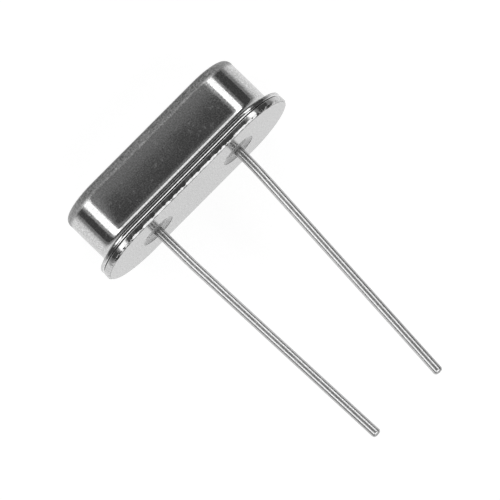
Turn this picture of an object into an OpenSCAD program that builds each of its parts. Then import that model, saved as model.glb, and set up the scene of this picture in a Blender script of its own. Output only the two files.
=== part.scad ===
// Quartz crystal with two wire leads, in a low welded metal can with rounded ends.
// Each piece is drawn standing on its leads: X runs along the can, Z points to the can's top,
// and the underside of the base is at z = 0. lying() then tips the finished piece over, on to
// the flange's edge and the can's top edge, which is how the loose part comes to rest.

/* [Body] */
// Distance between the centres of the two rounded ends
end_pitch = 6.15; // [5.6:0.05:7]
// Width across the can, which is also the diameter of its rounded ends
can_w = 3.7; // [3.5:0.01:3.8]
// Height of the can's top above the underside of the base
body_h = 3.2; // [2.9:0.01:4.5]
// Thickness of the can's sheet
can_wall = 0.2; // [0.14:0.01:0.26]
// Outside radius of the edge round the can's top
can_top_r = 0.3; // [0.22:0.01:0.6]

/* [Flange] */
// How far the flange stands out from the can's wall
flange_out = 0.47; // [0.4:0.01:0.6]
// Thickness of the can's own flange
can_flange_t = 0.21; // [0.14:0.01:0.26]
// Radius where the can's wall flares into its flange
skirt_r = 0.38; // [0.2:0.01:0.45]
// Radius of the flange's upper edge
flange_edge_r = 0.04; // [0.02:0.01:0.06]
// Height of the straight band between the flange's upper edge and its rolled lower edge
flange_land_t = 0.02; // [0.01:0.01:0.05]

/* [Base] */
// Thickness of the base's rim under the can's flange
rim_t = 0.32; // [0.26:0.01:0.38]
// Radius of the rim's upper edge
rim_edge_r = 0.04; // [0.02:0.01:0.08]
// Height of the slope under the rim's outer edge
rim_slope_h = 0.13; // [0.06:0.01:0.17]
// Width of the slope under the rim's outer edge
rim_slope_w = 0.09; // [0.04:0.01:0.2]
// Height of the platform inside the can above the underside
platform_h = 0.85; // [0.6:0.05:1]
// Gap between the platform and the inside of the can
platform_gap = 0.05; // [0.03:0.01:0.15]
// Radius of the platform's upper edge
platform_edge_r = 0.1; // [0.05:0.01:0.2]

/* [Leads] */
// Distance between the leads where they pass through the base
lead_pitch = 4.88; // [4.5:0.01:5.2]
// Diameter of the lead wire
lead_d = 0.43; // [0.38:0.01:0.48]
// How far each lead reaches below the base
lead_drop = 13.05; // [8:0.05:20]
// Radius of the gentle bend in each lead
lead_bend_r = 20; // [10:1:40]
// How far below the base the left lead's bend begins
left_bend_at = 1.8; // [0.1:0.1:4]
// How far the left lead leans inwards below its bend, in degrees
left_lean_angle = 1.64; // [0.2:0.01:5]
// How far below the base the right lead's bend begins
right_bend_at = 0.2; // [0.1:0.1:4]
// How far the right lead leans inwards below its bend, in degrees
right_lean_angle = 3.89; // [0.2:0.01:5]
// Bevel round the cut end of each lead
lead_tip_bevel = 0.05; // [0.02:0.01:0.1]
// Diameter of the flat head on each lead's inner end
head_d = 0.8; // [0.6:0.05:1]
// Thickness of the flat head
head_t = 0.12; // [0.08:0.01:0.2]
// Gap between the glass and the head above it
head_gap = 0.05; // [0.02:0.01:0.15]

/* [Seals] */
// Diameter of the glass seal round each lead
seal_d = 1.72; // [1.2:0.02:1.9]
// How far the glass is set in from the underside and from the platform
seal_inset = 0.02; // [0:0.01:0.05]
// Depth of the hollow that the glass forms between its bore and the lead
meniscus_depth = 0.14; // [0.05:0.01:0.2]

/* [Crystal] */
// Length of the quartz blank
blank_l = 8; // [7:0.1:8.2]
// Width of the quartz blank
blank_w = 2; // [1.5:0.1:2.1]
// Thickness of the quartz blank
blank_t = 0.2; // [0.1:0.01:0.3]
// Height of the lower electrode above the lead heads
blank_lift = 0.72; // [0.6:0.02:0.9]
// Thickness of each electrode film
film_t = 0.02; // [0.01:0.005:0.03]
// Length of each electrode's middle patch
patch_l = 4.4; // [3:0.1:5]
// Width of each electrode's middle patch
patch_w = 1.5; // [1:0.1:1.6]
// Width of the tab from the patch to the blank's end
tab_w = 0.7; // [0.4:0.05:0.9]

/* [Clips] */
// Thickness of the clips' sheet
clip_t = 0.1; // [0.06:0.01:0.14]
// Width of the clips
clip_w = 1; // [0.6:0.05:1.2]
// Inside radius of the clips' bends
clip_bend_r = 0.1; // [0.05:0.01:0.12]
// Distance from a lead's centre to the far face of its clip's riser
riser_at = 0.6; // [0.5:0.05:0.8]
// Gap between the blank's end and the clip
blank_end_gap = 0.08; // [0.03:0.01:0.15]
// How far each clip's lip reaches over the blank
lip_l = 0.3; // [0.2:0.02:0.5]
// Gap between the upper electrode and the lip, which the adhesive fills
glue_t = 0.06; // [0.03:0.01:0.1]
// Width of each dab of adhesive
glue_w = 0.8; // [0.4:0.05:1]
// Radius of the bead of adhesive in front of the lip
glue_bead_r = 0.14; // [0.1:0.01:0.2]

/* [Hidden] */
$fn = 96;
LEFT = -1;
RIGHT = 1;
SPARE = 0.01; // how far a cutting shape runs past the face it cuts

can_half = can_w / 2;
flange_half = can_half + flange_out;
flange_top = rim_t + can_flange_t;
flare_r = min(skirt_r, flange_out - flange_edge_r - SPARE);
roll_r = can_flange_t - flange_edge_r - flange_land_t;
inner_half = can_half - can_wall;
platform_half = inner_half - platform_gap;

head_bottom = platform_h + head_gap;
head_top = head_bottom + head_t;
film_low = head_top + blank_lift;
blank_low = film_low + film_t;
blank_high = blank_low + blank_t;
film_high = blank_high + film_t;
lip_low = film_high + glue_t;
clip_end = blank_l / 2 + blank_end_gap;

// The lying part touches the floor along two rounded edges, centred here in the cross-section
flange_edge = [flange_half - flange_edge_r, flange_top - flange_edge_r];
top_edge = [can_half - can_top_r, body_h - can_top_r];
edge_step = top_edge - flange_edge;
rest_tilt = atan2(-edge_step.x, edge_step.y) + asin((flange_edge_r - can_top_r) / norm(edge_step));

// Tips the standing part on to its side, with the leads towards -Y
module lying() {
    rotate([-90 - rest_tilt, 0, 0]) children();
}

// Turns what is drawn for the right-hand side into its mirror image for the left
module handed(side) {
    mirror([side < 0 ? 1 : 0, 0, 0]) children();
}

// Sweeps a half profile round the body's outline: x is the distance from the middle, y the height
module round_the_body() {
    for (side = [LEFT, RIGHT])
        translate([side * end_pitch / 2, 0, 0])
            rotate([0, 0, -side * 90])
                rotate_extrude(angle = 180) children();
    rotate([90, 0, 90])
        linear_extrude(height = end_pitch, center = true) {
            children();
            mirror([1, 0]) children();
        }
}

// Half profile of a block with its upper outer edge rounded
module half_block(half, low, high, edge_r) {
    translate([0, low]) square([half, high - edge_r - low]);
    translate([0, low]) square([half - edge_r, high - low]);
    translate([half - edge_r, high - edge_r]) circle(edge_r);
}

// Concave corner between a wall at x = half and a face at y = low
module half_flare(half, low, r) {
    difference() {
        translate([half - SPARE, low - SPARE]) square(r + SPARE);
        translate([half + r, low + r]) circle(r);
    }
}

module can_outside() {
    half_block(can_half, rim_t, body_h, can_top_r);
    intersection() {
        half_block(flange_half, rim_t, flange_top, flange_edge_r);
        translate([0, rim_t + flange_top]) mirror([0, 1])
            half_block(flange_half, rim_t, flange_top, roll_r);
    }
    half_flare(can_half, flange_top, flare_r);
}

module can_inside() {
    half_block(inner_half, rim_t - SPARE, body_h - can_wall, max(can_top_r - can_wall, SPARE));
    half_flare(inner_half, rim_t, flare_r);
}

// Cover drawn from sheet, its skirt flared into a flange with a rolled lower edge, welded down
module can() {
    color("silver") lying() round_the_body() difference() {
        can_outside();
        can_inside();
    }
}

// Header plate: a thin rim under the flange, and a thick platform that holds the two seals
module base_profile() {
    difference() {
        half_block(flange_half, 0, rim_t, rim_edge_r);
        polygon([
            [flange_half - rim_slope_w, 0],
            [flange_half + SPARE, rim_slope_h * (1 + SPARE / rim_slope_w)],
            [flange_half + SPARE, -SPARE],
            [flange_half - rim_slope_w, -SPARE]
        ]);
    }
    half_block(platform_half, 0, platform_h, platform_edge_r);
}

module base() {
    color("gainsboro") lying() difference() {
        round_the_body() base_profile();
        for (side = [LEFT, RIGHT])
            translate([side * lead_pitch / 2, 0, -SPARE])
                cylinder(d = seal_d, h = platform_h + 2 * SPARE);
    }
}

// Ring of glass fused between the base and a lead, hollowed underneath
module glass_seal(side) {
    low = seal_inset;
    high = platform_h - seal_inset;
    hollow_half = (seal_d - lead_d) / 4;
    hollow_r = (pow(hollow_half, 2) + pow(meniscus_depth, 2)) / (2 * meniscus_depth);
    color([0.3, 0.34, 0.32]) lying() handed(side) translate([lead_pitch / 2, 0, 0])
        rotate_extrude() difference() {
            translate([lead_d / 2, low]) square([2 * hollow_half, high - low]);
            translate([lead_d / 2 + hollow_half, low + meniscus_depth - hollow_r]) circle(hollow_r);
        }
}

// Bend that turns a lead inwards by lean, between the level above it and the tilted end below it
module lead_bend(lean) {
    reach = lead_bend_r + lead_d;
    intersection() {
        rotate([90, 0, 0]) rotate_extrude() translate([lead_bend_r, 0]) circle(d = lead_d);
        translate([0, -lead_d, -reach]) cube([reach, 2 * lead_d, reach]);
        rotate([0, lean, 0]) translate([0, -lead_d, 0]) cube([reach, 2 * lead_d, reach]);
    }
}

// Lead wire with a flat inner head: straight through the base, one gentle bend, then straight
module lead(side, bend_at, lean) {
    leaning_l = (lead_drop - bend_at - lead_bend_r * sin(lean)) / cos(lean);
    color("lightgray") lying() handed(side) translate([lead_pitch / 2, 0, 0]) {
        translate([0, 0, head_bottom]) cylinder(d = head_d, h = head_t);
        translate([0, 0, -bend_at]) cylinder(d = lead_d, h = head_bottom + bend_at);
        translate([-lead_bend_r, 0, -bend_at]) {
            lead_bend(lean);
            rotate([0, lean, 0]) translate([lead_bend_r, 0, -leaning_l])
                rotate_extrude() polygon([
                    [0, 0],
                    [lead_d / 2 - lead_tip_bevel, 0],
                    [lead_d / 2, lead_tip_bevel],
                    [lead_d / 2, leaning_l],
                    [0, leaning_l]
                ]);
        }
    }
}

// Quarter of a bent sheet's section, in the quadrant that turn picks: 0 is right and up
module quarter_bend(turn) {
    outer = clip_bend_r + clip_t;
    rotate([0, 0, turn]) intersection() {
        difference() {
            circle(outer);
            circle(clip_bend_r);
        }
        square(outer);
    }
}

// Section of a right-hand clip: foot, riser, ledge under the blank, end wall and lip over it
module clip_section() {
    bend = clip_bend_r + clip_t;
    riser_x = lead_pitch / 2 + riser_at;
    ledge_x = riser_x - clip_t + bend;
    foot_x = lead_pitch / 2 - head_d / 2;
    ledge_low = film_low - clip_t;
    end_x = clip_end - clip_bend_r;
    translate([foot_x, head_top]) square([riser_x - bend - foot_x, clip_t]);
    translate([riser_x - bend, head_top + bend]) quarter_bend(-90);
    translate([riser_x - clip_t, head_top + bend])
        square([clip_t, film_low - bend - head_top - bend]);
    translate([ledge_x, film_low - bend]) quarter_bend(90);
    translate([ledge_x, ledge_low]) square([end_x - ledge_x, clip_t]);
    translate([end_x, film_low + clip_bend_r]) quarter_bend(-90);
    translate([clip_end, film_low + clip_bend_r])
        square([clip_t, lip_low - film_low - 2 * clip_bend_r]);
    translate([end_x, lip_low - clip_bend_r]) quarter_bend(0);
    translate([clip_end - blank_end_gap - lip_l, lip_low])
        square([lip_l + blank_end_gap - clip_bend_r, clip_t]);
}

// Draws a right-hand section across the body
module across(side, width) {
    lying() handed(side) rotate([90, 0, 0])
        linear_extrude(height = width, center = true) children();
}

module clip(side) {
    color("tan") across(side, clip_w) clip_section();
}

module quartz_blank() {
    color("azure") lying() translate([-blank_l / 2, -blank_w / 2, blank_low])
        cube([blank_l, blank_w, blank_t]);
}

// Metal film on one face of the blank: a patch, and a tab to the blank's end on that side
module electrode(side, low) {
    color("goldenrod") lying() translate([0, 0, low]) linear_extrude(height = film_t) {
        square([patch_l, patch_w], center = true);
        translate([side > 0 ? 0 : -blank_l / 2, -tab_w / 2]) square([blank_l / 2, tab_w]);
    }
}

// Dab of conductive adhesive under a clip's lip, with a bead in front of it
module adhesive(side, low) {
    lip_x = blank_l / 2 - lip_l;
    color("dimgray") across(side, glue_w) {
        translate([lip_x, low]) square([lip_l, lip_low - low]);
        translate([lip_x, low]) intersection() {
            circle(glue_bead_r);
            translate([-glue_bead_r, 0]) square(glue_bead_r);
        }
    }
}

can();
base();
glass_seal(LEFT);  // glass_seal_left
glass_seal(RIGHT);  // glass_seal_right
lead(LEFT, left_bend_at, left_lean_angle);  // lead_left
lead(RIGHT, right_bend_at, right_lean_angle);  // lead_right
clip(LEFT);  // clip_left
clip(RIGHT);  // clip_right
quartz_blank();
electrode(RIGHT, blank_high);  // electrode_upper
electrode(LEFT, film_low);  // electrode_lower
adhesive(LEFT, blank_high);  // adhesive_left
adhesive(RIGHT, film_high);  // adhesive_right
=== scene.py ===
# Looks of a two-lead quartz crystal in a low welded metal can, lying on its long side.
import math

import bmesh
import bpy
from mathutils import Matrix, Vector


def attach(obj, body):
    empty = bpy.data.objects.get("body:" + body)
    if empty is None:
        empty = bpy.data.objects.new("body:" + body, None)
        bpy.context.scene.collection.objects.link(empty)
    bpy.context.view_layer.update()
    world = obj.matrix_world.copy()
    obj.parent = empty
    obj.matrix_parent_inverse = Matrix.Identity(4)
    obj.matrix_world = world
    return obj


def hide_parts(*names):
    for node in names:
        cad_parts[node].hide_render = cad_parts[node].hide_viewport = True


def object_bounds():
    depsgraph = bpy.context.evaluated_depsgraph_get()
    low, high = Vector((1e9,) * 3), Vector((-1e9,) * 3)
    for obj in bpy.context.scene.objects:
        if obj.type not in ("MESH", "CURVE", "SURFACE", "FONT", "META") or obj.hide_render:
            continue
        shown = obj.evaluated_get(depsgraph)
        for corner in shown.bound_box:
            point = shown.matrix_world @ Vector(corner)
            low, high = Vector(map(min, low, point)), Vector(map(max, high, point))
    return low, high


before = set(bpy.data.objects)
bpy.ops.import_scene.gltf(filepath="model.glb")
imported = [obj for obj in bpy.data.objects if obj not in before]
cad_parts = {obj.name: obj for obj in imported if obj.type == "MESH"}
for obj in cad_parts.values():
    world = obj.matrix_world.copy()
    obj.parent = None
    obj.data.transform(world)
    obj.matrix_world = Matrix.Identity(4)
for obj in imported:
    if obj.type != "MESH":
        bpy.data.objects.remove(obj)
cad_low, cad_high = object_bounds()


# ------------------------------------------------------------------------------------- can
# Cover pressed from nickel-plated steel sheet: a low box with full-round ends. Its skirt flares
# out into a narrow flange with a rolled lower edge, which is welded down on the base's rim.
MM = 0.001  # in metres; sizes are in millimetres, on the standing part, up to the table's section
QUARTER = math.pi / 2
LYING_TILT = math.radians(10.925389)
END_PITCH = 6.15  # between the centres of the two round ends
CAN_HALF = 1.85
CAN_H = 3.2
SHEET_T = 0.2
CAN_TOP_R = 0.3
FLARE_R = 0.38
FLANGE_HALF = 2.32
FLANGE_TOP = 0.53
FLANGE_EDGE_R = 0.04
FLANGE_LAND = 0.02  # the flat between the flange's two rounded edges
RIM_T = 0.32
WALL_CROWN = 0.008  # how far the drawn wall bulges
WALL_LEAN = math.radians(2.8)  # of the wall's foot, as it eases out of the flare
WALL_EASE_H = 0.24
WALL_LEVELS = (  # shares of the wall's height, at which its line has a point
    0.01, 0.03, 0.05, 0.07, 0.09, 0.11, 0.13, 0.2, 0.3, 0.4, 0.5, 0.6, 0.7, 0.8, 0.9, 0.99, 1)
HOLD = 0.012  # narrow strips that keep a flat flat beside a bend
SAME_PLACE = 1e-4  # how close two points are that are one

# Heights at which the finish changes, and where shade and a highlight are painted into the colour.
# A band of four begins, is full, starts to fade, and ends.
DULL_AND_SHADED_TOP = (CAN_H - 0.5, CAN_H - 0.33, CAN_H - 0.09, CAN_H - 0.002)
# Bands that are rougher where pressed and are darkened with painted shade: the flare's hollow, and
# the flange's top edge.
PRESSED_AND_SHADED_HOLLOW = (0.535, 0.55, 0.63, 0.75)
PRESSED_AND_SHADED_EDGE = (0.497, 0.505, 0.5275, 0.5295)
FLANGE_SHADE = (0.505, 0.515, 0.532, 0.536)
# Painted shade low on the flange's roll, and a painted highlight along it.
ROLL_SHADE_AND_HIGHLIGHT = (0.335, 0.355, 0.385, 0.4)
ROLL_SOFT = (0.36, 0.4)
WALL_WORN = (2.1, 2.7)
TOP_SHADE_ENDS = (3.4, 4.5)  # along the can, where the top's painted shade clears towards the round ends
CAN_TONE = (0.45, 0.79)  # where the grain is darkest, and where it is lightest
CAN_GRAIN_H = 0.00022
PATTERN = (0.3, 0.7)  # the values of noise that a pattern runs between
FLECKS = (0.66, 0.74)  # the values of noise at which a fleck begins, and is full


def carry_on(step):
    """Extrudes what is selected, by that step."""
    bpy.ops.mesh.extrude_region_move(TRANSFORM_OT_translate={"value": step})


def line_from(name, half, height):
    """Starts a section, half out from the middle and height up, at the right-hand end's centre."""
    bpy.ops.object.select_all(action="DESELECT")
    bpy.ops.mesh.primitive_plane_add(size=1)
    bpy.context.object.name = bpy.context.object.data.name = name
    bpy.ops.object.mode_set(mode="EDIT")
    bpy.ops.mesh.select_mode(type="VERT")
    bpy.ops.mesh.select_all(action="SELECT")
    bpy.ops.mesh.merge(type="CENTER")
    bpy.ops.mesh.select_all(action="SELECT")
    bpy.ops.transform.translate(value=(END_PITCH / 2, -half, height))


def way_to(half, height):
    """From the end of the line that is being drawn to that place in the section."""
    mesh = bmesh.from_edit_mesh(bpy.context.object.data)
    pen = next(v.co.copy() for v in mesh.verts if v.select)
    return Vector((END_PITCH / 2, -half, height)) - pen


def line_to(half, height):
    """A straight stretch, with a holding strip at each end where it is long enough."""
    way = way_to(half, height)
    strip = way.normalized() * HOLD
    for step in [strip, way - 2 * strip, strip] if way.length > 4 * HOLD else [way]:
        carry_on(step)


def bend_about(half, height, turn, steps):
    """An arc about a centre; turn is positive from outwards to upwards."""
    bpy.ops.mesh.spin(
        steps=steps, angle=turn, center=(END_PITCH / 2, -half, height), axis=(1, 0, 0))


def round_the_body(end_steps, side_parts):
    """Sweeps the whole drawn line round the body: a half turn, a straight, and the same again."""
    bpy.ops.mesh.select_mode(type="EDGE")
    bpy.ops.mesh.select_all(action="SELECT")
    side_part = (END_PITCH - 2 * HOLD) / side_parts
    for side in (1, -1):
        bpy.ops.mesh.spin(
            steps=end_steps, angle=-math.pi, center=(side * END_PITCH / 2, 0, 0), axis=(0, 0, 1))
        for step in [HOLD] + [side_part] * side_parts + [HOLD]:
            carry_on((-side * step, 0, 0))
    bpy.ops.mesh.select_all(action="SELECT")
    bpy.ops.mesh.remove_doubles(threshold=SAME_PLACE)


def close_flat(height):
    """Fills the open outline at that height, with a holding strip round the new face."""
    bpy.ops.mesh.select_mode(type="EDGE")
    bpy.ops.mesh.select_all(action="DESELECT")
    mesh = bmesh.from_edit_mesh(bpy.context.object.data)
    for edge in mesh.edges:
        if edge.is_boundary and all(abs(v.co.z - height) < SAME_PLACE for v in edge.verts):
            edge.select_set(True)
    bmesh.update_edit_mesh(bpy.context.object.data)
    bpy.ops.mesh.edge_face_add()
    bpy.ops.mesh.inset(thickness=HOLD, depth=0)


def finish_shape(smooth_below=30):
    """Points the faces outwards and lays the piece down in its place, in metres."""
    bpy.ops.mesh.select_all(action="SELECT")
    bpy.ops.mesh.normals_make_consistent(inside=False)
    bpy.ops.object.mode_set(mode="OBJECT")
    piece = bpy.context.object
    piece.rotation_euler = (-QUARTER - LYING_TILT, 0, 0)
    piece.scale = (MM, MM, MM)
    bpy.ops.object.transform_apply(location=True, rotation=True, scale=True)
    bpy.ops.object.shade_smooth_by_angle(angle=math.radians(smooth_below))
    return piece


def node(finish, kind, inputs=(), **settings):
    """One node of a material: inputs are numbers, or the sockets that feed them."""
    made = finish.node_tree.nodes.new("ShaderNode" + kind)
    for setting, value in settings.items():
        setattr(made, setting, value)
    for socket, value in dict(inputs).items():
        if isinstance(value, bpy.types.NodeSocket):
            link(finish, value, made.inputs[socket])
        else:
            made.inputs[socket].default_value = value
    return made


def link(finish, value, socket):
    """Feeds a shader's socket with a worked-out value."""
    finish.node_tree.links.new(value, socket)


def new_finish(name):
    """A material, its shader, and a place on the standing part in millimetres for its patterns."""
    finish = bpy.data.materials.new(name)
    finish.use_nodes = True
    shader = finish.node_tree.nodes["Principled BSDF"]
    place = node(finish, "TexCoord").outputs["Object"]
    upright = node(finish, "Mapping", {
        "Vector": place, "Rotation": (QUARTER + LYING_TILT, 0, 0), "Scale": (1 / MM,) * 3})
    return finish, shader, upright.outputs["Vector"]


def noise(finish, place, scale, detail=2.0, roughness=0.5):
    """Noise from 0 to 1; scale is in patches per millimetre."""
    return node(finish, "TexNoise", {
        "Vector": place, "Scale": scale, "Detail": detail, "Roughness": roughness,
    }).outputs["Fac"]


def ranged(finish, value, start, end, to):
    """Carries start..end over to the two values in to, and holds it there."""
    return node(finish, "MapRange", {
        "Value": value, "From Min": start, "From Max": end, "To Min": to[0], "To Max": to[1],
    }).outputs["Result"]


def sum_of(finish, *values):
    """The sum of all the values."""
    total = values[0]
    for value in values[1:]:
        total = node(finish, "Math", {0: total, 1: value}, operation="ADD").outputs[0]
    return total


def product(finish, *pair):
    """The product of the two values."""
    return node(finish, "Math", dict(enumerate(pair)), operation="MULTIPLY").outputs[0]


def band(finish, height, edges, amount):
    """The amount between the two middle edges, fading to nothing at the outer two."""
    begin, full, fade, end = edges
    return sum_of(finish, ranged(finish, height, begin, full, (-amount, 0.0)),
                  ranged(finish, height, fade, end, (amount, 0.0)))


def bumped(finish, shader, height, depth):
    """Raises the surface by height times depth, in millimetres."""
    bump = node(finish, "Bump", {"Height": height, "Distance": depth * MM, "Strength": 1.0})
    link(finish, bump.outputs["Normal"], shader.inputs["Normal"])


line_from("can_cover", CAN_HALF - CAN_TOP_R, CAN_H - SHEET_T)
bend_about(CAN_HALF - CAN_TOP_R, CAN_H - CAN_TOP_R, -QUARTER, steps=6)
line_to(CAN_HALF - SHEET_T, RIM_T + FLARE_R)
bend_about(CAN_HALF - SHEET_T + FLARE_R, RIM_T + FLARE_R, QUARTER, steps=10)
roll_r = FLANGE_TOP - RIM_T - FLANGE_EDGE_R - FLANGE_LAND
line_to(FLANGE_HALF - roll_r, RIM_T)
bend_about(FLANGE_HALF - roll_r, RIM_T + roll_r, QUARTER, steps=16)
line_to(FLANGE_HALF, FLANGE_TOP - FLANGE_EDGE_R)
bend_about(FLANGE_HALF - FLANGE_EDGE_R, FLANGE_TOP - FLANGE_EDGE_R, QUARTER, steps=8)
line_to(CAN_HALF + FLARE_R, FLANGE_TOP)
bend_about(CAN_HALF + FLARE_R, FLANGE_TOP + FLARE_R, WALL_LEAN - QUARTER, steps=26)
wall_low = FLANGE_TOP + FLARE_R * (1 - math.sin(WALL_LEAN))
wall_high = CAN_H - CAN_TOP_R
wall_ease = WALL_LEAN * WALL_EASE_H / 3
for level in WALL_LEVELS:
    height = level * (wall_high - wall_low)
    eased = wall_ease * (max(0.0, 1 - height / WALL_EASE_H) ** 3 - 1 + level)
    bulge = 4 * WALL_CROWN * level * (1 - level)
    carry_on(way_to(CAN_HALF + eased + bulge, wall_low + height))
bend_about(CAN_HALF - CAN_TOP_R, CAN_H - CAN_TOP_R, QUARTER, steps=20)
round_the_body(end_steps=96, side_parts=12)
close_flat(CAN_H - SHEET_T)
close_flat(CAN_H)
can = finish_shape()

can_finish, can_shader, can_place = new_finish("drawn_nickel")
can_split = node(can_finish, "SeparateXYZ", {"Vector": can_place}).outputs
can_height = can_split["Z"]
can_sideways = node(can_finish, "Math", {0: can_split["X"]}, operation="ABSOLUTE").outputs[0]
can_grain = noise(can_finish, can_place, scale=14.0, roughness=0.6)
can_cloud = noise(can_finish, can_place, scale=0.9, detail=3.0)
can_fleck = ranged(
    can_finish, noise(can_finish, can_place, scale=4.5, detail=1.0), *FLECKS, (0.0, 1.0))
# Rougher towards the top, with painted shade there too, which clears towards the round ends.
can_top = band(can_finish, can_height, DULL_AND_SHADED_TOP, 1.0)
can_top_painted_shade = product(
    can_finish, can_top, ranged(can_finish, can_sideways, *TOP_SHADE_ENDS, (1.0, 0.2)))
# Rough where pressed; the same bands darken the colour below as painted shade.
can_pressed_and_shaded = sum_of(
    can_finish, band(can_finish, can_height, PRESSED_AND_SHADED_HOLLOW, 0.25),
    band(can_finish, can_height, PRESSED_AND_SHADED_EDGE, 0.25))
can_rough = sum_of(
    can_finish, can_pressed_and_shaded,
    ranged(can_finish, can_height, *ROLL_SOFT, (0.1, 0.0)),
    ranged(can_finish, can_height, *WALL_WORN, (0.1, 0.15)),
    ranged(can_finish, can_top, 0.0, 1.0, (0.0, 0.57)),
    ranged(can_finish, can_grain, *PATTERN, (-0.02, 0.03)),
    ranged(can_finish, can_cloud, *PATTERN, (-0.015, 0.02)),
    ranged(can_finish, can_fleck, 0.0, 1.0, (0.0, 0.06)))
can_tone = sum_of(
    can_finish, ranged(can_finish, can_grain, *PATTERN, CAN_TONE),
    # painted shade on the top's edge
    ranged(can_finish, can_top_painted_shade, 0.0, 0.8, (0.0, -0.3)),
    # painted shade in the flare's hollow and on the flange's top edge
    ranged(can_finish, can_pressed_and_shaded, 0.17, 0.24, (0.0, -0.45)),
    # painted shade low on the roll, and a painted highlight along it
    ranged(can_finish, can_height, *ROLL_SHADE_AND_HIGHLIGHT[:2], (-0.45, 0.0)),
    band(can_finish, can_height, ROLL_SHADE_AND_HIGHLIGHT, 0.2),
    # painted shade at the flange's top, where the flare begins
    band(can_finish, can_height, FLANGE_SHADE, -0.18),
    ranged(can_finish, can_fleck, 0.0, 1.0, (0.0, 0.1)))
link(can_finish, can_tone, can_shader.inputs["Base Color"])
link(can_finish, can_rough, can_shader.inputs["Roughness"])
can_shader.inputs["Metallic"].default_value = 1.0
bumped(can_finish, can_shader, can_grain, CAN_GRAIN_H)
can.data.materials.append(can_finish)
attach(can, "root")
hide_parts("can")


# ------------------------------------------------------------------------------------ base
# Header plate pressed from nickel-plated steel: a thin rim under the can's flange, sloped and
# left uneven below by the weld, and a thick platform inside the can with a bore for each seal.
RIM_EDGE_R = 0.04
SLOPE_H = 0.09
SLOPE_W = 0.09
SLOPE_CURVE = ((0.19, 0.32), (0.5, 0.62), (0.75, 0.82), (1, 1))  # shares of height and width
PLATFORM_HALF = 1.6
PLATFORM_H = 0.85
PLATFORM_EDGE_R = 0.1
LEAD_PITCH = 4.88
SEAL_D = 1.72
PUNCH_L = 3
PUNCH_MIDDLE = 0.4
WELD_UNEVEN = (  # name, size of a patch, depth, direction, and the noise value that stays put
    ("scallops", 0.2, 0.14, "Z", 0.5), ("lumps", 0.09, 0.018, "NORMAL", 1.0))
WELD_FROM = 0.001  # above the underside, which stays flat
WELD_FULL = 16  # share of the unevenness for each millimetre up
FLAT_SIDES = 100  # a face with that many sides is one of the big flats
BASE_TONE = (0.44, 0.72)
BASE_GRAIN_H = 0.0003
SLOPE_FOOT = (0.001, 0.003, 0.018, 0.026)
# Painted shade on the rim's top edge, in the crevice under the flange, which is rougher there too.
CREVICE = (0.297, 0.305)  # the rim's top edge, under the flange

line_from("base_plate", FLANGE_HALF - SLOPE_W, 0)
for up, out in SLOPE_CURVE:
    carry_on(way_to(FLANGE_HALF - (1 - out) * SLOPE_W, up * SLOPE_H))
line_to(FLANGE_HALF, RIM_T - RIM_EDGE_R)
bend_about(FLANGE_HALF - RIM_EDGE_R, RIM_T - RIM_EDGE_R, QUARTER, steps=6)
line_to(PLATFORM_HALF, RIM_T)
line_to(PLATFORM_HALF, PLATFORM_H - PLATFORM_EDGE_R)
bend_about(PLATFORM_HALF - PLATFORM_EDGE_R, PLATFORM_H - PLATFORM_EDGE_R, QUARTER, steps=8)
round_the_body(end_steps=160, side_parts=150)
close_flat(0)
close_flat(PLATFORM_H)
bpy.ops.mesh.select_all(action="SELECT")
bpy.ops.mesh.normals_make_consistent(inside=False)
bpy.ops.object.mode_set(mode="OBJECT")
plate = bpy.context.object
for side in (-1, 1):
    bpy.ops.object.select_all(action="DESELECT")
    bpy.ops.mesh.primitive_cylinder_add(
        vertices=96, radius=SEAL_D / 2, depth=PUNCH_L,
        location=(side * LEAD_PITCH / 2, 0, PUNCH_MIDDLE))
    punch = bpy.context.object
    bpy.ops.object.select_all(action="DESELECT")
    plate.select_set(True)
    bpy.context.view_layer.objects.active = plate
    cut = plate.modifiers.new("seal_bore", "BOOLEAN")
    cut.operation, cut.object, cut.solver = "DIFFERENCE", punch, "EXACT"
    bpy.ops.object.modifier_apply(modifier=cut.name)
    bpy.data.objects.remove(punch)
weld_edge = plate.vertex_groups.new(name="weld_edge")
for vertex in plate.data.vertices:
    if WELD_FROM < vertex.co.z < SLOPE_H + WELD_FROM:
        weld_edge.add([vertex.index], min(1.0, WELD_FULL * vertex.co.z), "REPLACE")
for name, size, depth, direction, middle in WELD_UNEVEN:
    pattern = bpy.data.textures.new(name, "CLOUDS")
    pattern.noise_scale = size
    uneven = plate.modifiers.new(name, "DISPLACE")
    # The group goes by its name: applying a modifier makes weld_edge, as a variable, stale.
    uneven.texture, uneven.texture_coords, uneven.vertex_group = pattern, "LOCAL", "weld_edge"
    uneven.direction, uneven.strength, uneven.mid_level = direction, depth, middle
    bpy.ops.object.modifier_apply(modifier=name)
bpy.ops.object.mode_set(mode="EDIT")
base = finish_shape()
for face in base.data.polygons:
    face.use_smooth = len(face.vertices) < FLAT_SIDES

base_finish, base_shader, base_place = new_finish("pressed_nickel")
base_grain = noise(base_finish, base_place, scale=11.0, detail=3.0, roughness=0.6)
base_cloud = noise(base_finish, base_place, scale=0.7, detail=3.0)
base_height = node(base_finish, "SeparateXYZ", {"Vector": base_place}).outputs["Z"]
base_rough = sum_of(
    base_finish, ranged(base_finish, base_grain, *PATTERN, (0.1, 0.16)),
    ranged(base_finish, base_height, 0.0, 0.01, (0.08, 0.0)),
    ranged(base_finish, base_height, *CREVICE, (0.0, 0.25)),
    ranged(base_finish, base_cloud, *PATTERN, (-0.015, 0.015)))
base_tone = sum_of(
    base_finish, ranged(base_finish, base_grain, *PATTERN, BASE_TONE),
    # painted shade in the crevice under the flange
    ranged(base_finish, base_height, *CREVICE, (0.0, -0.45)),
    band(base_finish, base_height, SLOPE_FOOT, -0.2))
link(base_finish, base_tone, base_shader.inputs["Base Color"])
link(base_finish, base_rough, base_shader.inputs["Roughness"])
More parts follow.
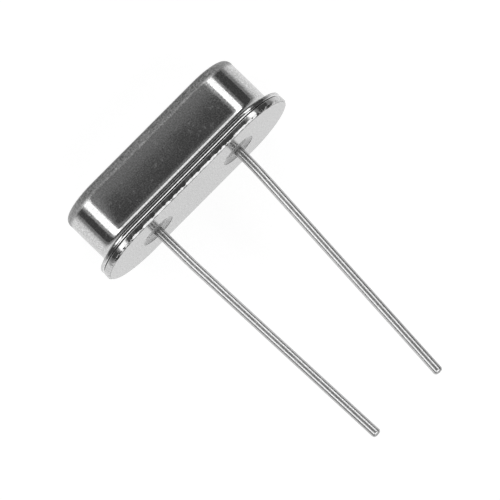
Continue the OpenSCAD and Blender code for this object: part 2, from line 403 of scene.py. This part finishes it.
base_shader.inputs["Metallic"].default_value = 1.0
bumped(base_finish, base_shader, base_grain, BASE_GRAIN_H)
base.data.materials.append(base_finish)
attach(base, "root")
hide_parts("base")


# ------------------------------------------------------------------------------ glass seals
# Ring of grey sealing glass fused between the base's bore and each lead, drawn up into a
# hollow below as it set. Both are alike, so the right one is a copy of the left.
SEAL_INSET = 0.02
LEAD_D = 0.43
MENISCUS = 0.14
SEAL_TONE = (0.56, 0.7)
SEAL_ROUGH = (0.06, 0.14)
# Painted shade on the glass round each lead, where the wire goes in.
SEAL_ROOT_SHADE = (0.25, 0.45)  # from the lead's middle, where the glass starts and ends to lighten
SEAL_WAVE_H = 0.004
GLASS_IOR = 1.85

seal_finish, seal_shader, seal_place = new_finish("sealing_glass")
seal_cloud = noise(seal_finish, seal_place, scale=2.5, detail=3.0)
seal_flat = node(seal_finish, "VectorMath", {0: seal_place, 1: (1, 1, 0)},
                 operation="MULTIPLY").outputs[0]
seal_side = node(seal_finish, "VectorMath", {0: seal_flat}, operation="ABSOLUTE").outputs[0]
from_lead = node(seal_finish, "VectorMath", {0: seal_side, 1: (LEAD_PITCH / 2, 0, 0)},
                 operation="DISTANCE").outputs["Value"]
seal_tone = sum_of(
    seal_finish, ranged(seal_finish, seal_cloud, *PATTERN, SEAL_TONE),
    # painted shade round each lead
    ranged(seal_finish, from_lead, *SEAL_ROOT_SHADE, (-0.45, 0.0)))
link(seal_finish, seal_tone, seal_shader.inputs["Base Color"])
link(seal_finish, ranged(seal_finish, seal_cloud, *PATTERN, SEAL_ROUGH),
     seal_shader.inputs["Roughness"])
seal_shader.inputs["IOR"].default_value = GLASS_IOR
bumped(seal_finish, seal_shader, seal_cloud, SEAL_WAVE_H)

hollow_half = (SEAL_D - LEAD_D) / 4
hollow_r = (hollow_half ** 2 + MENISCUS ** 2) / (2 * MENISCUS)
hollow_turn = 2 * math.asin(hollow_half / hollow_r)
line_from("glass_seal_ring_left", LEAD_D / 2, SEAL_INSET)
bend_about(LEAD_D / 2 + hollow_half, SEAL_INSET + MENISCUS - hollow_r, -hollow_turn, steps=24)
line_to(SEAL_D / 2, PLATFORM_H - SEAL_INSET)
line_to(LEAD_D / 2, PLATFORM_H - SEAL_INSET)
line_to(LEAD_D / 2, SEAL_INSET)
bpy.ops.mesh.select_mode(type="EDGE")
bpy.ops.mesh.select_all(action="SELECT")
bpy.ops.mesh.spin(steps=72, angle=2 * math.pi, center=(END_PITCH / 2, 0, 0), axis=(0, 0, 1))
bpy.ops.mesh.select_all(action="SELECT")
bpy.ops.mesh.remove_doubles(threshold=SAME_PLACE)
bpy.ops.mesh.select_all(action="SELECT")
bpy.ops.transform.translate(value=(-LEAD_PITCH / 2 - END_PITCH / 2, 0, 0))
seal_left = finish_shape()
seal_left.data.materials.append(seal_finish)
bpy.ops.object.duplicate(linked=False)
seal_right = bpy.context.object
seal_right.name = seal_right.data.name = "glass_seal_ring_right"
seal_right.location.x = LEAD_PITCH * MM
bpy.ops.object.transform_apply(location=True, rotation=True, scale=True)
for seal, hand in ((seal_left, "left"), (seal_right, "right")):
    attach(seal, "root")
    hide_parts("glass_seal_" + hand)


# ------------------------------------------------------------------------------------ leads
# Round wire of iron-nickel alloy with a bright tinned skin, painted with shade where it comes out
# of the glass:
# a flat head inside the can, straight through the seal, one gentle bend inwards, a cropped end.
HEAD_D = 0.8
HEAD_T = 0.12
HEAD_GAP = 0.05
LEAD_DROP = 13.05
LEAD_BEND_R = 20
LEADS = ((-1, "left", 1.8, 1.64), (1, "right", 0.2, 3.89))  # where each bends, by how many degrees
TIP_R = 0.12
TIP_TURNS = (15, 30, 45, 60, 75, 90)  # degrees round the tip's edge
HEAD_HOLD = 0.01
BEND_HOLD = 0.05
TIP_HOLD = 0.02
LEAD_SMOOTH = 35  # degrees between faces, below which they shade as one
LEAD_TONE = (0.74, 0.83)
LEAD_ROUGH = (0.27, 0.35)
LEAD_EDGE_TINT = (0.3, 0.3, 0.3, 1)
LEAD_ROOT_SHADE = (-0.22, -0.03)  # heights, below the base, over which painted shade on the wire fades in towards the base
LEAD_GRAIN_H = 0.0006

lead_finish, lead_shader, lead_place = new_finish("tinned_wire")
lead_grain = noise(lead_finish, lead_place, scale=5.0, detail=3.0, roughness=0.6)
lead_height = node(lead_finish, "SeparateXYZ", {"Vector": lead_place}).outputs["Z"]
lead_tone = sum_of(
    lead_finish, ranged(lead_finish, lead_grain, *PATTERN, LEAD_TONE),
    # painted shade where the wire leaves the glass
    ranged(lead_finish, lead_height, *LEAD_ROOT_SHADE, (0.0, -0.55)))
link(lead_finish, lead_tone, lead_shader.inputs["Base Color"])
link(lead_finish, ranged(lead_finish, lead_grain, *PATTERN, LEAD_ROUGH),
     lead_shader.inputs["Roughness"])
lead_shader.inputs["Metallic"].default_value = 1.0
lead_shader.inputs["Specular Tint"].default_value = LEAD_EDGE_TINT
bumped(lead_finish, lead_shader, lead_grain, LEAD_GRAIN_H)

for side, hand, bend_at, lean_deg in LEADS:
    lean = math.radians(lean_deg)
    along = Vector((-side * math.sin(lean), 0, -math.cos(lean)))
    leaning_l = (LEAD_DROP - bend_at - LEAD_BEND_R * math.sin(lean)) / math.cos(lean)
    half_run = (leaning_l - BEND_HOLD - TIP_R - TIP_HOLD) / 2
    head_top = PLATFORM_H + HEAD_GAP + HEAD_T
    bpy.ops.object.select_all(action="DESELECT")
    bpy.ops.mesh.primitive_circle_add(
        vertices=48, radius=HEAD_D / 2, fill_type="NGON",
        location=(side * LEAD_PITCH / 2, 0, head_top))
    lead = bpy.context.object
    lead.name = lead.data.name = "lead_wire_" + hand
    bpy.ops.object.transform_apply(location=True)
    bpy.ops.object.mode_set(mode="EDIT")
    bpy.ops.mesh.select_mode(type="FACE")
    bpy.ops.mesh.select_all(action="SELECT")
    for drop in (HEAD_HOLD, HEAD_T - 2 * HEAD_HOLD, HEAD_HOLD):
        carry_on((0, 0, -drop))
    bpy.ops.mesh.inset(thickness=(HEAD_D - LEAD_D) / 2, depth=0)
    for drop in (head_top - HEAD_T + bend_at - BEND_HOLD, BEND_HOLD):
        carry_on((0, 0, -drop))
    bpy.ops.mesh.spin(
        steps=10, angle=-side * lean, axis=(0, 1, 0),
        center=(side * (LEAD_PITCH / 2 - LEAD_BEND_R), 0, -bend_at))
    for length in (BEND_HOLD, half_run, half_run, TIP_HOLD):
        carry_on(along * length)
    tip_half, reach = LEAD_D / 2, 0.0
    for turn in map(math.radians, TIP_TURNS):
        next_half = LEAD_D / 2 - TIP_R * (1 - math.cos(turn))
        carry_on(along * (TIP_R * math.sin(turn) - reach))
        bpy.ops.transform.resize(value=(next_half / tip_half,) * 3)
        tip_half, reach = next_half, TIP_R * math.sin(turn)
    lead = finish_shape(LEAD_SMOOTH)
    lead.data.materials.append(lead_finish)
    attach(lead, "root")
    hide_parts("lead_" + hand)


# ------------------------------------------------------------------------- inside the can
# Nothing of these shows: sheet clips on the leads' heads, a polished quartz strip with a metal
# film on each face, and a dab of silver-filled adhesive at each end. The solids' shapes stay.
CLIP_TONE = (0.62, 0.6, 0.56)
QUARTZ_TONE = (0.9, 0.94, 0.95)
FILM_TONE = (0.9, 0.89, 0.86)
ADHESIVE_TONE = (0.45, 0.45, 0.44)
INNER_DARK, INNER_LIGHT = 0.88, 1.08  # of the tone, between the grain's darkest and lightest
INNER_ROUGH_SPREAD = 0.05
INNER_GRAIN_H = 0.002
QUARTZ_IOR = 1.54
QUARTZ_CLEAR = 0.8
MIX_DARK, MIX_LIGHT, MIXED = 6, 7, 2  # the Mix node's sockets for colours


def inner_finish(name, tone, roughness, metallic, scale, nodes):
    """A finish with a fine grain, put on those solids. It returns the shader."""
    finish, shader, place = new_finish(name)
    grain = noise(finish, place, scale, detail=3.0, roughness=0.6)
    cloud = noise(finish, place, scale=1.5)
    mix = node(finish, "Mix", {"Factor": grain}, data_type="RGBA")
    mix.inputs[MIX_DARK].default_value = (*[INNER_DARK * c for c in tone], 1)
    mix.inputs[MIX_LIGHT].default_value = (*[min(1.0, INNER_LIGHT * c) for c in tone], 1)
    link(finish, mix.outputs[MIXED], shader.inputs["Base Color"])
    rough_range = (roughness - INNER_ROUGH_SPREAD, roughness + INNER_ROUGH_SPREAD)
    link(finish, ranged(finish, cloud, *PATTERN, rough_range), shader.inputs["Roughness"])
    shader.inputs["Metallic"].default_value = metallic
    bumped(finish, shader, grain, INNER_GRAIN_H)
    for solid in nodes:
        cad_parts[solid].data.materials.clear()
        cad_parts[solid].data.materials.append(finish)
    return shader


inner_finish("clip_sheet", CLIP_TONE, roughness=0.32, metallic=1.0, scale=6.0,
             nodes=("clip_left", "clip_right"))
quartz_shader = inner_finish("lapped_quartz", QUARTZ_TONE, roughness=0.25, metallic=0.0, scale=9.0,
                             nodes=("quartz_blank",))
quartz_shader.inputs["IOR"].default_value = QUARTZ_IOR
quartz_shader.inputs["Transmission Weight"].default_value = QUARTZ_CLEAR
inner_finish("silver_film", FILM_TONE, roughness=0.18, metallic=1.0, scale=8.0,
             nodes=("electrode_upper", "electrode_lower"))
inner_finish("silver_adhesive", ADHESIVE_TONE, roughness=0.6, metallic=0.35, scale=5.0,
             nodes=("adhesive_left", "adhesive_right"))


# -------------------------------------------------------------------------- table and light
# White table and thirteen softboxes, which make the metal's bright strips, ends and edges. The
# rest of the room is dim, and the metal mirrors it dark. From here on, sizes are in metres.
FLOOR_SIDE = 0.8
WHITE = (1, 1, 1, 1)
PAPER = (0.9, 0.9, 0.9, 1)
OWN_SHARE = 0.75  # how much of what is seen of the table is its own glow, and not lit paper
# What metal and glass see of the table is a painted pool of light: it glows brightest round the
# part and fades out beyond it.
POOL_AT = (-1.5 * MM, -4 * MM, 0)
POOL_EDGE, POOL_LIGHT = (12 * MM, 26 * MM), (1.05, 0.15)  # what metal and glass see of the table
SPREAD_EDGE, SPREAD_LIGHT = (30 * MM, 150 * MM), (1.17, 1.4)  # what the camera sees of it
ROOM_LIGHT = 0.07
SOFTBOX_AWAY = 0.25
SOFTBOXES_ABOUT = Vector((0, 0.0015, 0))
SOFTBOXES = (  # name, two long edges by azimuth and polar angle, angle of half a length, light
    ("softbox_right", (35.6, 39.5), (23.9, 54.9), 30, 1.7),
    ("rim_right", (45.8, 32.5), (36, 39.1), 30, 0.2),
    ("trim_right", (23.7, 55.3), (20.2, 62.5), 30, 0.2),
    ("rim_left", (145, 40), (147.3, 42.4), 30, 0.35),
    ("softbox_left", (147.8, 43), (158.9, 61.8), 30, 1.7),
    ("trim_left", (159.1, 62.2), (162, 69.2), 30, 0.3),
    ("corner_right", (49.1, 43.5), (48.6, 51.8), 6.5, 0.9),
    ("corner_left", (133.7, 47.2), (133.9, 56.3), 6.5, 0.9),
    ("softbox_top", (84.9, 38.5), (86.5, 66), 38, 1.15),
    ("edge_top", (84.3, 33), (84.8, 38.2), 38, 0.4),
    ("rim_top", (82.2, 24.4), (83.9, 30), 38, 0.2),
    ("softbox_foot", (268, 27.7), (267, 67), 38, 1.45),
    ("sill_foot", (267, 67.5), (266.5, 82), 38, 0.65))

bpy.ops.object.select_all(action="DESELECT")
bpy.ops.mesh.primitive_plane_add(size=FLOOR_SIDE, location=(0, 0, cad_low.z))
floor = bpy.context.object
floor.name = "table"
paper = bpy.data.materials.new("white_table")
paper.use_nodes = True
paper.node_tree.nodes.clear()
rays = node(paper, "LightPath").outputs
mirrored = node(paper, "Math", {0: rays["Is Glossy Ray"], 1: rays["Is Transmission Ray"]},
                operation="MAXIMUM").outputs[0]
seen = node(paper, "Math", {0: rays["Is Camera Ray"], 1: mirrored}, operation="MAXIMUM").outputs[0]
matt = node(paper, "BsdfDiffuse", {"Color": PAPER}).outputs[0]
on_table = node(paper, "TexCoord").outputs["Object"]
from_pool = node(paper, "VectorMath", {0: on_table, 1: POOL_AT},
                 operation="DISTANCE").outputs["Value"]
from_middle = node(paper, "VectorMath", {0: on_table}, operation="LENGTH").outputs["Value"]
shine = node(paper, "Mix", {
    "Factor": mirrored, "A": ranged(paper, from_middle, *SPREAD_EDGE, SPREAD_LIGHT),
    "B": ranged(paper, from_pool, *POOL_EDGE, POOL_LIGHT)}).outputs["Result"]
glow = node(paper, "Emission", {"Color": WHITE, "Strength": shine}).outputs[0]
mixed = node(paper, "MixShader", {
    0: product(paper, seen, OWN_SHARE), 1: matt, 2: glow}).outputs[0]
node(paper, "OutputMaterial", {"Surface": mixed})
floor.data.materials.append(paper)


def towards(azimuth, polar):
    """The direction at that compass angle, that far down from straight up."""
    across = math.sin(math.radians(polar))
    return Vector((across * math.cos(math.radians(azimuth)),
                   across * math.sin(math.radians(azimuth)), math.cos(math.radians(polar))))


for name, upper, lower, half_length, light in SOFTBOXES:
    upper, lower = towards(*upper), towards(*lower)
    way = (upper + lower).normalized()
    short = (upper - lower).normalized()
    lamp = bpy.data.lights.new(name, "AREA")
    lamp.shape = "RECTANGLE"
    lamp.size = 2 * SOFTBOX_AWAY * math.tan(math.radians(half_length))
    lamp.size_y = 2 * SOFTBOX_AWAY * math.tan(upper.angle(lower) / 2)
    lamp.energy = light * math.pi * lamp.size * lamp.size_y
    softbox = bpy.data.objects.new(name, lamp)
    facing = Matrix((short.cross(way), short, way)).transposed().to_4x4()
    softbox.matrix_world = Matrix.Translation(SOFTBOXES_ABOUT + way * SOFTBOX_AWAY) @ facing
    softbox.visible_camera = False
    bpy.context.scene.collection.objects.link(softbox)

room = bpy.data.worlds.new("room")
room.use_nodes = True
room.node_tree.nodes.clear()
room_seen = node(room, "LightPath").outputs["Is Camera Ray"]
room_light = ranged(room, room_seen, 0, 1, (ROOM_LIGHT, 1.0))
backdrop = node(room, "Background", {"Color": WHITE, "Strength": room_light})
node(room, "OutputWorld", {"Surface": backdrop.outputs[0]})
bpy.context.scene.world = room


# ----------------------------------------------------------------------------------- camera
# Long lens, almost straight down, turned so that the leads run to the lower right. Its
# directions and its aim are those of the standing part, and are laid down with it.
CAMERA_AWAY = 0.3
FRAME_WIDTH = 0.021511
SENSOR_WIDTH = 36  # millimetres
NEAR, FAR = 0.01, 10
RIGHTWARDS = Vector((0.7039, 0.1036, -0.7027))
LOOKING = Vector((0.0554, 0.9783, 0.1997))
AIM = Vector((-0.2390, 0.6899, -3.3132))  # millimetres

camera_data = bpy.data.cameras.new("camera")
camera_data.sensor_width = SENSOR_WIDTH
camera_data.lens = SENSOR_WIDTH * CAMERA_AWAY / FRAME_WIDTH
camera_data.clip_start, camera_data.clip_end = NEAR, FAR
camera = bpy.data.objects.new("camera", camera_data)
lying = Matrix.Rotation(-QUARTER - LYING_TILT, 3, "X")
look = lying @ LOOKING.normalized()
picture_up = (lying @ RIGHTWARDS.normalized()).cross(look).normalized()
picture_right = look.cross(picture_up)
facing = Matrix((picture_right, picture_up, -look)).transposed().to_4x4()
camera.matrix_world = Matrix.Translation(lying @ AIM * MM - look * CAMERA_AWAY) @ facing
bpy.context.scene.collection.objects.link(camera)
bpy.context.scene.camera = camera
bpy.context.scene.view_settings.view_transform = "Standard"
